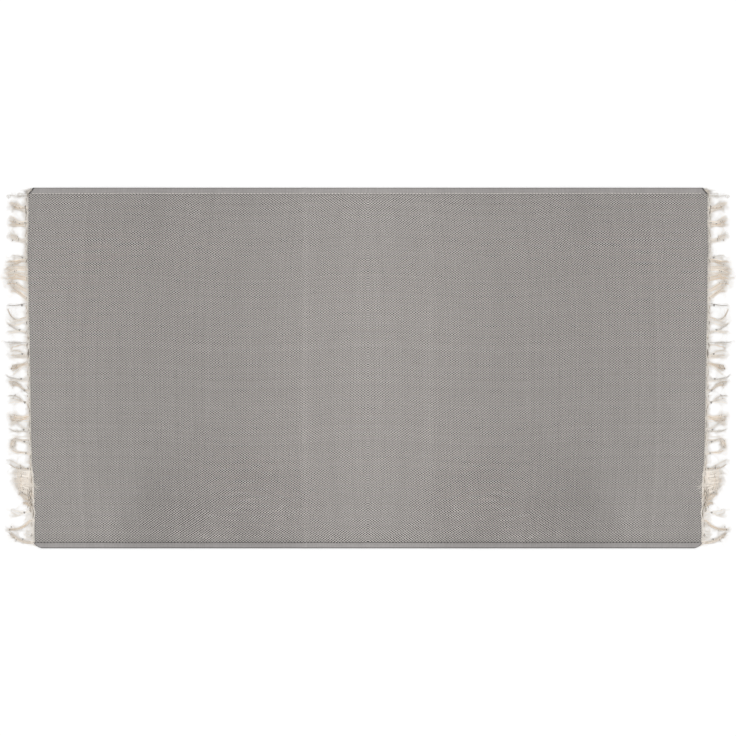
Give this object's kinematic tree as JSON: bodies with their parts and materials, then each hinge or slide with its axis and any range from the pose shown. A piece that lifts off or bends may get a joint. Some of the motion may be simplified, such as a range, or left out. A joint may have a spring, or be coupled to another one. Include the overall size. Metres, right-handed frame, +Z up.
{
  "type": "hammam towel",
  "caption": "Flat rectangular woven cotton towel with narrow stitched hems along its long edges and a loose yarn fringe along each short end.",
  "frame": {"origin": "middle of the towel's underside, on the surface that it lies on", "axes": "+X along the towel, from the left fringe to the right one; +Y across it, to the upper long hem; +Z up, out of its face"},
  "size_m": [1.8306, 0.9, 0.003],
  "materials": {
    "cloth": "matt cotton in a fine grey and cream check",
    "fringe": "matt undyed cotton yarn"
  },
  "bodies": {
    "root": {"cloth": "cloth", "fringe_left": "fringe", "fringe_right": "fringe"}
  },
  "joints": []
}
